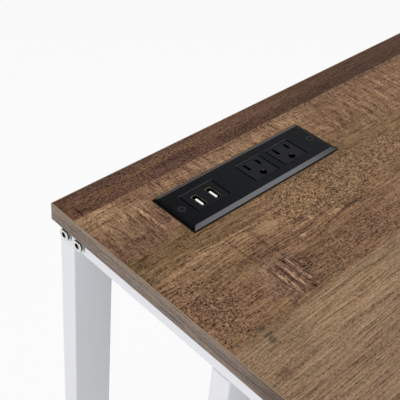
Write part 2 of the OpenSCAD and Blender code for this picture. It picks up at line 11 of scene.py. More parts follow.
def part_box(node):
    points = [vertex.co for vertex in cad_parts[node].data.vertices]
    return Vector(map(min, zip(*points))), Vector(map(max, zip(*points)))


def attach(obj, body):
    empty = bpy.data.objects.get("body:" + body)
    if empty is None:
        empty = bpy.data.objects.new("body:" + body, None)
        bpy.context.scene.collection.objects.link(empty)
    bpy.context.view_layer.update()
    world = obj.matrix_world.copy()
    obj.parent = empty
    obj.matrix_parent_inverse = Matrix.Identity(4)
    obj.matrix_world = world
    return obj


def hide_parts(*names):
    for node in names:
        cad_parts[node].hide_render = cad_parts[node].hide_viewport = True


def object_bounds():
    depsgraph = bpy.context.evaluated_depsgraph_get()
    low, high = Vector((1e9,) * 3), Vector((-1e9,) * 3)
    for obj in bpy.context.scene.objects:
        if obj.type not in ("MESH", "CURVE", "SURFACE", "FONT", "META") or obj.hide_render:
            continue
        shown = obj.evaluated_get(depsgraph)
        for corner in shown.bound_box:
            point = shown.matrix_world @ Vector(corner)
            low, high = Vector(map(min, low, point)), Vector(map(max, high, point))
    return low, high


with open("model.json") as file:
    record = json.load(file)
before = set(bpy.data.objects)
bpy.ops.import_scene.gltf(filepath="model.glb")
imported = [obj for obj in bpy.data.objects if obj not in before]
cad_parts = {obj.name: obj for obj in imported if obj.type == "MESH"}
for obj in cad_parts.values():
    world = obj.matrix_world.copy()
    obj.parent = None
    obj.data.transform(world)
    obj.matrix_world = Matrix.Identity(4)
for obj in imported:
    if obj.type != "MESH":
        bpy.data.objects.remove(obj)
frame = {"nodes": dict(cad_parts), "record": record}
cad_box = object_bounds()

MM = 0.001
RECORD = frame["record"]
BODY_OF = {node: body for body, nodes in RECORD["behaviour"]["bodies"].items() for node in nodes}
SLOT_OF = {part["node"]: part["material_slot"] for part in RECORD["subparts"]}

# Places worked out from the frame, in metres
TOP_LOW, TOP_HIGH = Vector(cad_box[0]), Vector(cad_box[1])
BEZEL_LOW, BEZEL_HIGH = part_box("module_bezel")
WORKTOP_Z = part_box("desk_top")[1].z
MODULE = Vector(((BEZEL_LOW.x + BEZEL_HIGH.x) / 2, (BEZEL_LOW.y + BEZEL_HIGH.y) / 2, WORKTOP_Z))

# Sizes that the finishes, the painted highlights and the painted shade of the bolts, the screws and the ports
# follow
BOLT_PITCH = 15.5 * MM
BOLT_HEAD_R = 4.8 * MM
SOCKET_R = 2.3 * MM
SCREW_HEAD_R = 3 * MM
SCREW_HEAD_H = 0.2 * MM
PORT_PITCH = 14.2 * MM
PORT_HALF_W = 2.5 * MM
PORT_RIM_H = 0.5 * MM
NOTCH_PITCH = 1.9 * MM
WINDING_L = 18 * MM

# Sizes that the finishes, the painted highlights and the painted shade of the module's faces follow. Names
# that end in _Z are heights above the worktop.
FLANGE = 1.2 * MM
# LIP_W is the width of the painted highlights behind the windows.
LIP_W = 0.7 * MM
SHADOW_W = 1.9 * MM
WINDOW_HALF_W = 12.2 * MM
WINDOWS_HALF_L = 66 * MM
# Below GROOVE_Z the module's faces are painted black as shade.
GROOVE_Z = 1.0 * MM
# Below WALL_Z among the windows, and below SLOPE_Z elsewhere, the bezel's gloss is painted black as shade.
WALL_Z = 1.45 * MM
SLOPE_Z = 0.45 * MM
GLINT_PLACE = Vector((2.0, -4.4, 2.1)) * MM
GLINT_R = (1.2 * MM, 0.5 * MM)

# Widths of the rounded edges in millimetres, for the nodes whose edges show
SOFTENED = {
    "edge_band_left": 0.35,
    "edge_band_right": 0.35,
    "edge_band_front": 0.35,
    "edge_band_back": 0.35,
    "module_bezel": 0.35,
    "outlet_a_face": 0.2,
    "outlet_b_face": 0.2,
    "usb_face": 0.2,
    "frame_bolts": 0.3,
    "frame_washers": 0.3,
    "cord_gland": 0.5,
    "module_housing": 0.5,
    "left_rear_foot_pad": 0.6,
    "left_front_foot_pad": 0.6,
    "right_rear_foot_pad": 0.6,
    "right_front_foot_pad": 0.6,
}
WINDOW_FACES = ("outlet_a_face", "outlet_b_face", "usb_face")
GLOSSY_SIDES = ("module_bezel", *WINDOW_FACES)

# In those nodes' copies, points this near are joined, faces this flat are merged and edges this sharp are
# rounded. Faces less level than the last value are sides.
JOINED = 2e-6
FLAT = math.radians(0.6)
SHARP = math.radians(25)
BEZEL_SHARP = math.radians(15)
LEVEL_NORMAL_Z = 0.98

# The camera at the photo's angle: its place in metres, its angles in degrees and its lens in millimetres
CAMERA_PLACE = Vector((-0.8675, -0.1355, 1.1365))
CAMERA_TURN = 45.30
CAMERA_PITCH = 35.74
CAMERA_ROLL = 4.25
LENS = 75.44
SENSOR = 36.0
SHIFT = (0.0625, -0.125)

# The lamps: direction and distance from the module, size, radiance and colour
Lamp = namedtuple("Lamp", "direction distance size radiance colour")
LAMPS = {
    "slope_light": Lamp((0.631, -0.072, 0.773), 1.8, (1.1, 0.45), 7.4, (1.0, 1.0, 1.0)),
    "left_light": Lamp((-1.0, -0.15, 0.45), 2.4, (1.8, 1.6), 3.0, (1.0, 0.985, 1.0)),
    "front_light": Lamp((-0.25, -1.0, 0.35), 2.6, (1.4, 1.2), 1.8, (0.74, 1.0, 1.0)),
}
SEEN_RAYS = ("Is Camera Ray", "Is Glossy Ray", "Is Transmission Ray")
WHITE = (1, 1, 1, 1)
WORLD_LIGHT = 0.48
FLOOR_GLOW = 0.88
FLOOR_HALF = 8.0


def linear(red, green, blue):
    """A colour given as 0 to 255 on the screen, as linear light."""
    def channel(c):
        c /= 255
        return c / 12.92 if c <= 0.04045 else ((c + 0.055) / 1.055) ** 2.4
    return (channel(red), channel(green), channel(blue), 1.0)


COLOUR = {
    # Boards
    "walnut": linear(99, 70, 53),
    "umber": linear(73, 52, 40),
    "tan": linear(133, 101, 76),
    "straw": linear(139, 113, 88),
    "brown": linear(121, 93, 69),
    # Stains and marks on the boards
    "red": linear(102, 73, 61),
    "pale": linear(172, 140, 106),
    "olive": linear(112, 88, 61),
    "purple": linear(90, 64, 57),
    "pink": linear(170, 136, 108),
    "dark": linear(46, 32, 27),
    "slate": linear(66, 58, 52),
    "shadow": linear(14, 9, 6),
    # Edge band
    "band": linear(128, 113, 101),
    "band_brown": linear(90, 73, 65),
    "band_dash": linear(66, 57, 54),
    "rim_highlight": linear(152, 130, 103),
    # Paint and metals
    "paint": linear(226, 226, 230),
    "plating": linear(222, 222, 218),
    "plating_shade": linear(62, 72, 74),
    "bolt_top_shade": linear(46, 48, 48),
    "socket": linear(24, 24, 25),
    "socket_lit": linear(112, 104, 90),
    "zinc": linear(196, 199, 202),
    "brass": linear(222, 186, 112),
    "shell": linear(42, 43, 46),
    "shell_glint": linear(150, 138, 112),
    "shell_notch": linear(168, 148, 112),
    "drive": linear(48, 48, 50),
    "screw_ring": linear(1, 1, 2),
    "screw_rim": linear(56, 56, 57),
    # Plastics
    "bezel_left": linear(13, 14, 16),
    "bezel_sheen": linear(22, 23, 25),
    "bezel_lip": linear(72, 74, 79),
    "slope": linear(10, 11, 15),
    "wall_shade": linear(1, 1, 1),
    "glint": linear(120, 120, 122),
    "groove": linear(2, 2, 3),
    "usb": linear(13, 14, 17),
    "outlet": linear(26, 27, 30),
    "housing": linear(28, 28, 30),
    "tongue": linear(252, 251, 248),
    "foot": linear(30, 30, 31),
    # Circuit board
    "mask": linear(28, 92, 56),
    "track": linear(52, 128, 76),
    "chip": linear(40, 41, 44),
    "winding": linear(176, 148, 60),
    # Scene
    "floor": linear(246, 246, 247),
}

# The pattern of the wood, in millimetres: u runs from the desk's left end, v from its back edge.
# Each board has a back and a front edge, a butt joint, and a colour left and right of that joint.
Board = namedtuple("Board", "back front butt left right")
BOARDS = [
    Board(0, 26.2, 640, "walnut", "umber"),
    Board(26.2, 180, 790, "tan", "brown"),
    Board(180, 334, 560, "straw", "tan"),
    Board(334, 488, 905, "brown", "straw"),
    Board(488, 501, 420, "walnut", "umber"),
]
SEAM = 0.4
SEEDS_APART = 7.3

# Noise: its length along the desk and its width across it, its seed, detail, roughness and distortion
Grain = namedtuple("Grain", "length width seed detail roughness distortion", defaults=(2.0, 0.5, 0.0))
GRAINS = {
    "far": Grain(21, 12, 2.2, 3.0, 0.65),
    "near": Grain(4.2, 3.4, 4.4, 3.0, 0.65),
    "broad": Grain(240, 30, 3.1, 1.0),
    "hue": Grain(26, 7, 14.2, 3.0, 0.6),
    # Along the grain
    "bend": Grain(90, 24, 1.3, 1.0),
    "long": Grain(1 / 0.012, 1 / 0.22, 0.0, 3.0, 0.6),
    "fine": Grain(1, 1, 1.7, 2.0, 0.7),
    "pore": Grain(10, 1 / 1.1, 2.9, 1.0),
    "bark": Grain(70, 5, 17.3, 3.0, 0.6),
    # Specks
    "speck": Grain(1.6, 1.2, 5.9, 2.0, 0.6, 0.4),
    "curl": Grain(1.8, 1.6, 9.9, 2.0, 0.7, 1.2),
    "grit": Grain(1.0, 0.85, 21.2, 1.0),
    "shred": Grain(2.2, 2.6, 15.1, 2.0, 0.7),
    "dot": Grain(1.9, 1.7, 16.4),
    "blotch": Grain(10, 8, 18.8, 3.0, 0.7),
    # Saw marks and scratches across the grain
    "sway": Grain(12, 16, 7.7),
    "jitter": Grain(5, 4, 8.2, 1.0),
    "saw": Grain(5, 1 / 0.03, 2.6, 3.0, 0.65),
    "fine_saw": Grain(1 / 0.75, 1 / 0.07, 6.1, 2.0, 0.7),
    "stroke": Grain(1 / 0.75, 5, 19.6, 2.0, 0.7),
    # Patches of each zone where the photo doesn't show the desk
    "sawn_patch": Grain(190, 52, 4.0),
    "mottled_patch": Grain(130, 38, 6.6, 3.0),
    "red_patch": Grain(110, 24, 8.8, 3.0),
    "olive_patch": Grain(150, 22, 12.5),
}

# How much of the far and of the near noise makes a mark's outline uneven
OUTLINES = {
    "ragged": (0.35, 0.16),
    "frayed": (0.0, 0.5),
    "torn": (0.0, 0.4),
    "cracked": (0.0, 0.3),
    "chipped": (0.0, 0.25),
    "thin": (0.0, 0.2),
    "smooth": (0.0, 0.12),
}

# A spot is an ellipse: its middle, half its length and width, its strength, its outline and how soft its
# edge is. A band runs along the desk: its edges, how soft they are and how far they wander, its strength, and
# the places along the desk where it is at nothing and at its full strength.
Spot = namedtuple("Spot", "u v half_u half_v amount outline edge", defaults=(1.0, "ragged", 0.35))
Band = namedtuple("Band", "back front soft wander amount fade", defaults=(None,))
MARKS = {
    "sawn": [
        Spot(26, 59, 36, 23),
        Spot(150, 34, 105, 11, 0.8),
        Spot(330, 52, 120, 33, 0.8),
        Spot(79, 158, 15, 18),
    ],
    "left_saw": [
        Spot(28, 55, 36, 32),
    ],
    "mottled": [
        Spot(175, 112, 62, 22),
        Spot(285, 113, 78, 14, 0.8),
        Spot(14, 148, 22, 28, 0.75),
        Spot(140, 163, 60, 13, 0.5),
        Spot(70, 12, 90, 14, 0.7),
        Spot(230, 22, 140, 8, 0.5),
    ],
    "scratched": [
        Spot(79, 156, 16, 22, edge=0.5),
    ],
    "smooth": [
        Spot(102.5, 116.5, 10, 6, 1.0, "smooth", 0.2),
    ],
    "red": [
        Spot(38, 76, 24, 7, 0.6),
        Spot(37, 66, 3.6, 13, 0.6, edge=0.5),
        Spot(50, 67, 3.2, 14, 0.65, edge=0.5),
        Spot(28, 56, 42, 22, 0.42, edge=0.5),
        Spot(14, 71, 19, 9, 0.6, edge=0.5),
        Spot(13, 150, 20, 24, 0.4, edge=0.6),
        Spot(79, 155, 18, 24, 0.75, edge=0.5),
        Spot(135, 164, 50, 10, 0.25, edge=0.6),
        Spot(250, 72, 20, 12, 0.4),
        Spot(14, 211, 5, 5, 0.45, "torn"),
        Band(27, 39, 3, 2, 0.32),
    ],
    "olive": [
        Spot(58, 131, 34, 13, 0.48, edge=0.6),
        Spot(125, 150, 34, 8, 0.35, edge=0.6),
        Spot(220, 97, 92, 20, 0.6, edge=0.6),
        Spot(270, 86, 62, 24, 0.6, edge=0.6),
        Spot(360, 30, 50, 20, 0.3, edge=0.6),
        Spot(70, 193, 90, 13, 0.14, edge=0.6),
        Band(81, 104, 3, 5, 0.9, (150, 60)),
        Band(88, 101, 4, 5, 0.45),
        Band(98, 122, 5, 5, 0.42, (112, 90)),
        Band(172, 183, 3, 3, 0.42, (130, 90)),
        Band(90, 140, 8, 9, 0.4, (100, 130)),
    ],
    "bark": [
        Band(4, 18, 3, 3, 0.7),
    ],
    "purple": [
        Spot(65, 4, 90, 5, 0.7, edge=0.6),
        Spot(205, 12, 42, 7, 0.5, edge=0.6),
        Spot(110, 20, 42, 6, 0.6, edge=0.6),
        Spot(30, 22, 18, 4, 0.4, edge=0.6),
        Spot(79, 150, 24, 22, 0.3, edge=0.6),
        Spot(40, 66, 22, 6, 0.3, edge=0.6),
        Spot(255, 56, 11, 14, 0.32, edge=0.6),
        Spot(274, 57, 6, 12, 0.3, edge=0.6),
    ],
    "glow": [
        Spot(165, 9, 90, 7, 0.18, edge=0.6),
        Spot(26, 9, 15, 5, 0.14, edge=0.6),
    ],
    "pale": [
        Spot(11, 31, 18, 5, 0.5),
        Spot(44, 47, 1.9, 13, 0.5, "torn"),
        Spot(45, 67, 1.6, 10, 0.35, "torn"),
        Spot(24, 58, 3, 13, 0.35, "torn", 0.5),
        Spot(14, 63, 2.5, 9, 0.35, "torn", 0.5),
        Spot(31, 64, 2.5, 8, 0.3, "torn", 0.5),
        Spot(90, 113, 9, 2.2, 0.35, "torn", 0.5),
        Spot(116, 138, 3.4, 1.5, 1.0, "chipped", 0.3),
        Spot(94, 211, 2.6, 1.3, 0.7, "chipped", 0.3),
        Spot(156, 136, 9, 1.6, 0.8, "torn"),
        Spot(119, 130, 16, 1.2, 0.7, "torn"),
        Spot(136, 128, 3, 2, 0.8, "torn"),
        Spot(13, 34, 20, 8, 0.45, edge=0.6),
        Spot(24, 43, 36, 8, 0.3, edge=0.6),
        Spot(14, 50, 18, 10, 0.14, edge=0.6),
        Spot(222, 34, 30, 8, 0.42, edge=0.6),
        Spot(35, 113, 44, 8, 0.2, edge=0.5),
        Spot(150, 36, 95, 8, 0.2, edge=0.5),
        Spot(100, 197, 40, 17, 0.26, edge=0.6),
    ],
    "scratches": [
        Spot(72.8, 164, 1.9, 13, 0.85, "frayed", 0.5),
        Spot(80.3, 159, 1.1, 17, 0.9, "frayed", 0.5),
        Spot(87.8, 157, 1.2, 15, 0.75, "frayed", 0.5),
        Spot(67.4, 156, 0.9, 11, 0.6, "frayed", 0.5),
    ],
    "scuffs": [
        Spot(79, 143, 20, 2.8, 0.45, "torn", 0.6),
        Spot(64, 150, 7, 12, 0.25, edge=0.6),
    ],
    "dark": [
        Spot(9.3, 20.5, 1.1, 5, 0.95, "torn", 0.4),
        Spot(13, 21.5, 4, 0.8, 0.6, "torn"),
        Spot(11, 41.3, 17, 0.5, 0.55, "cracked", 0.5),
        Spot(41.2, 54, 0.55, 20, 0.55, "cracked", 0.5),
        Spot(53, 60, 0.5, 17, 0.45, "cracked", 0.5),
        Spot(34, 52, 0.5, 8, 0.45, "cracked", 0.5),
        Spot(17, 51, 0.6, 7, 0.45, "cracked", 0.5),
        Spot(9, 52, 0.5, 5, 0.35, "cracked", 0.5),
        Spot(69.5, 124, 0.7, 20, 0.45, "cracked", 0.6),
        Spot(89, 125, 0.6, 20, 0.4, "cracked", 0.6),
        Spot(173, 138, 11, 1.7, 0.6, "torn", 0.5),
        Spot(126, 125, 7, 2.0, 0.5, "torn", 0.5),
        Spot(70.3, 162, 0.55, 13, 0.75, "thin", 0.4),
        Spot(77.6, 160, 0.6, 15, 0.85, "thin", 0.4),
        Spot(84.6, 157, 0.6, 15, 0.65, "thin", 0.4),
        Spot(14, 148, 24, 26, 0.08, edge=0.6),
        Spot(142, 162, 60, 22, 0.2, edge=0.5),
        Spot(60, 174, 60, 7, 0.07, edge=0.5),
        Spot(40, 2, 75, 5, 0.2, edge=0.5),
        Spot(0, 8, 6, 9, 0.4, "torn", 0.5),
        Spot(56, 8, 13, 5, 0.2, edge=0.5),
        Spot(6, 80, 16, 18, 0.12, edge=0.5),
        Spot(0, 112, 8, 14, 0.24, edge=0.5),
        Spot(262, 37, 28, 9, 0.22, edge=0.5),
        Spot(16, 66, 26, 10, 0.1, edge=0.5),
        Spot(202, 87, 40, 9, 0.26, edge=0.5),
        Spot(112, 130, 22, 8, 0.1, edge=0.5),
        Spot(110, 15, 24, 3.2, 0.5, edge=0.5),
        Band(26.2, 31, 2, 1, 0.17, (50, 90)),
        Band(15, 25.5, 3, 3, 0.3, (120, 180)),
    ],
    "slate": [
        Spot(28.5, 178, 2.4, 2.2, 0.75, "torn", 0.5),
        Spot(29.5, 184, 3.4, 1.8, 0.55, "torn", 0.5),
        Spot(27.5, 188.5, 2.4, 3.2, 0.7, "torn", 0.5),
    ],
    "slate_dots": [
        Spot(101, 177, 14, 2.4, 0.6, "torn", 0.5),
        Spot(62, 177, 4, 2, 0.7, "torn", 0.5),
        Spot(16, 150, 3, 2, 0.6, "torn", 0.5),
    ],
}


# Node graphs

class Wire:
    """A node's output that takes part in sums and products."""

    def __init__(self, graph, socket):
        self.graph = graph
        self.socket = socket

    def __add__(self, other):
        return self.graph.math("ADD", self, other)

    def __sub__(self, other):
        return self.graph.math("SUBTRACT", self, other)

    def __rsub__(self, other):
        return self.graph.math("SUBTRACT", other, self)

    def __mul__(self, other):
        return self.graph.math("MULTIPLY", self, other)

    __radd__ = __add__
    __rmul__ = __mul__


class Graph:
    """A material's nodes, built with short calls."""

    def __init__(self, name, roughness=0.5, specular=0.5, metallic=0.0):
        self.material = bpy.data.materials.new(name)
        self.material.use_nodes = True
        self.nodes = self.material.node_tree.nodes
        self.links = self.material.node_tree.links
        self.shader = self.nodes["Principled BSDF"]
        self.output = self.nodes["Material Output"]
        self.shader.inputs["Roughness"].default_value = roughness
        self.shader.inputs["Specular IOR Level"].default_value = specular
        self.shader.inputs["Metallic"].default_value = metallic
        self.coordinates = self.nodes.new("ShaderNodeTexCoord")
        self.place = Wire(self, self.coordinates.outputs["Object"])

    def feed(self, socket, value):
        """Links a wire to a socket, or sets the socket to a plain value."""
        if isinstance(value, Wire):
            self.links.new(value.socket, socket)
        elif value is not None:
            socket.default_value = value

    def node(self, kind, *values, **settings):
        """A node whose first inputs are fed in their order."""
        made = self.nodes.new(kind)
        for name, value in settings.items():
            setattr(made, name, value)
        for socket, value in zip(made.inputs, values):
            self.feed(socket, value)
        return made

    def named(self, kind, values, **settings):
        """A node whose inputs are fed by their names."""
        made = self.node(kind, **settings)
        for name, value in values.items():
            self.feed(made.inputs[name], value)
        return made

    def math(self, operation, *values):
        return Wire(self, self.node("ShaderNodeMath", *values, operation=operation).outputs[0])

    def vector(self, operation, *values, output=0):
        return Wire(self, self.node("ShaderNodeVectorMath", *values, operation=operation).outputs[output])

    def absolute(self, value):
        return self.math("ABSOLUTE", value)

    def above(self, value, limit):
        return self.math("GREATER_THAN", value, limit)

    def below(self, value, limit):
        return self.math("LESS_THAN", value, limit)

    def largest(self, *wires):
        found = wires[0]
        for wire in wires[1:]:
            found = self.math("MAXIMUM", found, wire)
        return found

    def split(self, vector):
        made = self.node("ShaderNodeSeparateXYZ", vector)
        return [Wire(self, out) for out in made.outputs]

    def join(self, x, y, z=0.0):
        return Wire(self, self.node("ShaderNodeCombineXYZ", x, y, z).outputs[0])

    def length(self, vector):
        return self.vector("LENGTH", vector, output="Value")

    def smooth(self, value, start, full):
        """0 at start, 1 at full and a soft step between them. start may be above full."""
        falls = start > full
        made = self.named("ShaderNodeMapRange", {
            "Value": value,
            "From Min": min(start, full),
            "From Max": max(start, full),
            "To Min": 1.0 if falls else 0.0,
            "To Max": 0.0 if falls else 1.0,
        }, interpolation_type="SMOOTHSTEP")
        return Wire(self, made.outputs["Result"])

    def noise(self, vector, scale=1.0, detail=2.0, roughness=0.5, distortion=0.0):
        """Noise from about -1 to 1."""
        made = self.named("ShaderNodeTexNoise", {
            "Vector": vector,
            "Scale": scale,
            "Detail": detail,
            "Roughness": roughness,
            "Distortion": distortion,
        })
        return (Wire(self, made.outputs["Fac"]) - 0.5) * 4.0

    def cells(self, vector, scale, randomness):
        """Distance to the nearest of many scattered points."""
        made = self.named("ShaderNodeTexVoronoi", {
            "Vector": vector,
            "Scale": scale,
            "Randomness": randomness,
        })
        return Wire(self, made.outputs["Distance"])

    def mix(self, amount, first, second):
        """The first colour at 0 and the second at 1."""
        made = self.node("ShaderNodeMix", data_type="RGBA")
        self.feed(made.inputs[0], amount)
        self.feed(made.inputs[6], first)
        self.feed(made.inputs[7], second)
        return Wire(self, made.outputs[2])

    def shade(self, colour, amount):
        """A colour made lighter or darker by a wire about 0."""
        if not isinstance(colour, Wire):
            colour = colour[:3]
        level = amount + 1.0
        return self.vector("MULTIPLY", colour, self.join(level, level, level))

    def finish(self, colour, roughness=None, height=None, depth=1.0):
        """Links the shader's colour and roughness, and a bump that is depth metres high at a height of 1."""
        self.feed(self.shader.inputs["Base Color"], colour)
        self.feed(self.shader.inputs["Roughness"], roughness)
        if height is not None:
            bump = self.named("ShaderNodeBump", {"Strength": 1.0, "Distance": depth, "Height": height})
            self.links.new(bump.outputs["Normal"], self.shader.inputs["Normal"])
        return self.material


# Wood

class DeskPlace:
    """A graph's place on the desk as u and v, and the noise and marks drawn there."""

    def __init__(self, graph):
        self.graph = graph
        x, y, _ = graph.split(graph.place)
        self.u = (x - TOP_LOW.x) * (1 / MM)
        self.v = (TOP_HIGH.y - y) * (1 / MM)
        self.flat = graph.join(self.u, self.v)
        self.seed = self.board_number() * SEEDS_APART
        self.grains = {}
        self.outlines = {}

    def in_board(self, board):
        return self.graph.above(self.v, board.back) * self.graph.below(self.v, board.front)

    def past_butt(self, board):
        return self.graph.above(self.u, board.butt)

    def board_number(self):
        """A number for each board, and half a number more to the right of its joint."""
        number = 0.0
        for count, board in enumerate(BOARDS, start=1):
            number = self.in_board(board) * (self.past_butt(board) * 0.5 + count) + number
        return number

    def past_line(self, v):
        """1 in front of a line along the desk."""
        return self.graph.smooth(self.v, v - SEAM, v + SEAM)

    def bent_grain(self, name, u, v):
        """Noise as GRAINS describes it, at another place than the graph's own."""
        kind = GRAINS[name]
        vector = self.graph.join(u * (1 / kind.length), v * (1 / kind.width), self.seed + kind.seed)
        return self.graph.noise(vector, detail=kind.detail, roughness=kind.roughness,
                                distortion=kind.distortion)

    def grain(self, name):
        """Noise as GRAINS describes it, made once for the graph."""
        if name not in self.grains:
            self.grains[name] = self.bent_grain(name, self.u, self.v)
        return self.grains[name]

    def outline(self, name):
        """The wire that makes outlines of that name uneven, made once for the graph."""
        if name not in self.outlines:
            far_share, near_share = OUTLINES[name]
            uneven = self.grain("near") * near_share
            if far_share:
                uneven = self.grain("far") * far_share + uneven
            self.outlines[name] = uneven
        return self.outlines[name]

    def spot(self, mark):
        offset = self.graph.vector("SUBTRACT", self.flat, (mark.u, mark.v, 0))
        scaled = self.graph.vector("MULTIPLY", offset, (1 / mark.half_u, 1 / mark.half_v, 0))
        distance = self.graph.length(scaled) + self.outline(mark.outline)
        return self.graph.smooth(distance, 1 + mark.edge, 1 - mark.edge) * mark.amount

    def band(self, mark):
        v = self.v + self.grain("far") * mark.wander
        strip = (self.graph.smooth(v, mark.back - mark.soft, mark.back + mark.soft)
                 * self.graph.smooth(v, mark.front + mark.soft, mark.front - mark.soft))
        if mark.fade:
            strip = strip * self.graph.smooth(self.u, *mark.fade)
        return strip * mark.amount

    def marks(self, name, *others):
        """The strongest of the marks of that name and of the other wires."""
        drawn = [self.spot(mark) if isinstance(mark, Spot) else self.band(mark) for mark in MARKS[name]]
        return self.graph.largest(*drawn, *others)


Zones = namedtuple("Zones", "light_boards first_board even_boards sawn left_saw mottled red olive "
                            "smooth scratched")
Streaks = namedtuple("Streaks", "long fine pores saw fine_saw strokes")
Marks = namedtuple("Marks", "pale scratches dark slate")


def board_ground(desk):
    """The boards' own colours, and a wire that is 1 in the seams."""
    graph = desk.graph
    colour = COLOUR[BOARDS[0].left]
    seams = []
    for board in BOARDS:
        inside = desk.in_board(board)
        colour = graph.mix(inside, colour, COLOUR[board.left])
        colour = graph.mix(inside * desk.past_butt(board), colour, COLOUR[board.right])
        seams.append(graph.smooth(graph.absolute(desk.u - board.butt), SEAM, 0.0) * inside)
        seams.append(graph.smooth(graph.absolute(desk.v - board.back), SEAM, 0.0) * 0.4)
    return colour, graph.largest(*seams)


def wood_zones(desk):
    """Where the wood is sawn across, mottled, red, olive, smooth or scratched. The rest has a long grain."""
    graph = desk.graph
    light_boards = desk.past_line(BOARDS[1].back) * (1.0 - desk.past_line(BOARDS[4].back))
    unseen = graph.largest(graph.smooth(desk.u, 430, 520), graph.smooth(desk.v, 250, 300))

    def patches(name, start, full):
        return graph.smooth(desk.grain(name), start, full) * unseen

    third_red = graph.smooth(desk.v, 212, 230) * graph.smooth(desk.v, 330, 300) * 0.14
    olive = desk.marks("olive", patches("olive_patch", 0.25, 0.7) * 0.7)
    return Zones(
        light_boards=light_boards,
        first_board=graph.smooth(desk.v, BOARDS[0].front + SEAM / 2, BOARDS[0].front - SEAM / 2),
        even_boards=desk.past_line(BOARDS[2].back),
        sawn=desk.marks("sawn", patches("sawn_patch", 0.3, 0.7)) * light_boards,
        left_saw=desk.marks("left_saw"),
        mottled=desk.marks("mottled", patches("mottled_patch", 0.2, 0.6)),
        red=desk.marks("red", third_red, patches("red_patch", 0.25, 0.8) * 0.7),
        olive=olive * light_boards * graph.smooth(desk.v, 300, 170),
        smooth=desk.marks("smooth"),
        scratched=desk.marks("scratched"),
    )


def wood_streaks(desk, zones):
    """The grain, which bends less in the boards in front, and the swaying cuts of the saw."""
    v = desk.v + desk.grain("bend") * (zones.even_boards * -2.2 + 3.0)
    swayed = desk.u + (desk.grain("sway") * 2.4 + desk.grain("jitter") * 0.45)
    return Streaks(
        long=desk.bent_grain("long", desk.u, v),
        fine=desk.bent_grain("fine", desk.u * (zones.even_boards * -0.012 + 0.04),
                             v * (zones.even_boards * 0.6 + 1.05)),
        pores=desk.graph.smooth(desk.bent_grain("pore", desk.u, v), 0.1, 0.6),
        saw=desk.bent_grain("saw", swayed, desk.v),
        fine_saw=desk.bent_grain("fine_saw", swayed, desk.v),
        strokes=desk.bent_grain("stroke", desk.u + desk.grain("near") * 0.3, desk.v),
    )


def wood_tone(desk, zones, streaks, seam):
    """How much lighter or darker the wood is for its grain, specks, saw cuts and seams."""
    grainy = 1.0 - desk.graph.largest(zones.sawn, zones.mottled) * 0.75
    lines = (streaks.long * 0.06
             + streaks.fine * (zones.even_boards * -0.1 + 0.9)
             - streaks.pores * (zones.even_boards * -0.1 + 0.1)) * grainy
    crisp = (1.25 - zones.even_boards * 0.3) * (zones.left_saw * -0.15 + 1.0)
    specks = (desk.grain("speck") * crisp * (zones.mottled * 0.4 + 0.6)
              + desk.grain("curl") * (zones.mottled * 0.5 + 0.1)
              + desk.grain("grit") * (zones.olive * -0.25 + 0.22))
    cuts = (streaks.saw * 0.08 + streaks.fine_saw * (zones.left_saw * -0.1 + 1.0)) * zones.sawn
    drift = desk.grain("broad") * 0.04 + desk.grain("far") * 0.04 - zones.mottled * 0.06 - seam * 0.3 + 0.05
    return (drift + lines + specks + cuts) * (zones.smooth * -0.65 + 1.0)


def wood_marks(desk, zones, streaks):
    """The marks that lie on the boards: pale, scratched, dark and slate grey."""
    graph = desk.graph
    ridges = graph.smooth(streaks.saw, 0.2, 0.75) * zones.sawn * (zones.left_saw * -0.36 + 0.5)
    cuts = graph.smooth(streaks.saw, -0.2, -0.8) * zones.sawn * (zones.left_saw * -0.1 + 0.16)
    curls = graph.smooth(desk.grain("curl"), 0.15, 0.6) * zones.mottled * 0.45
    pale_strokes = graph.smooth(streaks.strokes, 0.15, 0.5) * zones.scratched * 0.5
    dark_strokes = graph.smooth(streaks.strokes, -0.15, -0.5) * zones.scratched * 0.35
    shreds = graph.smooth(desk.grain("shred"), -0.35, 0.1) * 0.5 + 0.5
    dots = graph.smooth(desk.grain("dot"), -0.1, 0.25)
    return Marks(
        pale=desk.marks("pale", zones.smooth * 0.5, ridges, curls) * (zones.light_boards * 0.7 + 0.3),
        scratches=desk.marks("scuffs", desk.marks("scratches", pale_strokes) * shreds),
        dark=desk.marks("dark", dark_strokes, cuts),
        slate=desk.marks("slate", desk.marks("slate_dots") * dots),
    )


def bezel_shadow(graph):
    """1 in the thin dark line where the bezel stands on the top, fainter behind it."""
    x, y, _ = graph.split(graph.place)
    past_end = graph.absolute(x - MODULE.x) - (BEZEL_HIGH.x - BEZEL_LOW.x) / 2
    past_side = graph.absolute(y - MODULE.y) - (BEZEL_HIGH.y - BEZEL_LOW.y) / 2
    line = graph.smooth(graph.largest(past_end, past_side), SHADOW_W, SHADOW_W * 0.45)
    return line * (graph.above(y, BEZEL_HIGH.y) * -0.7 + 0.95)


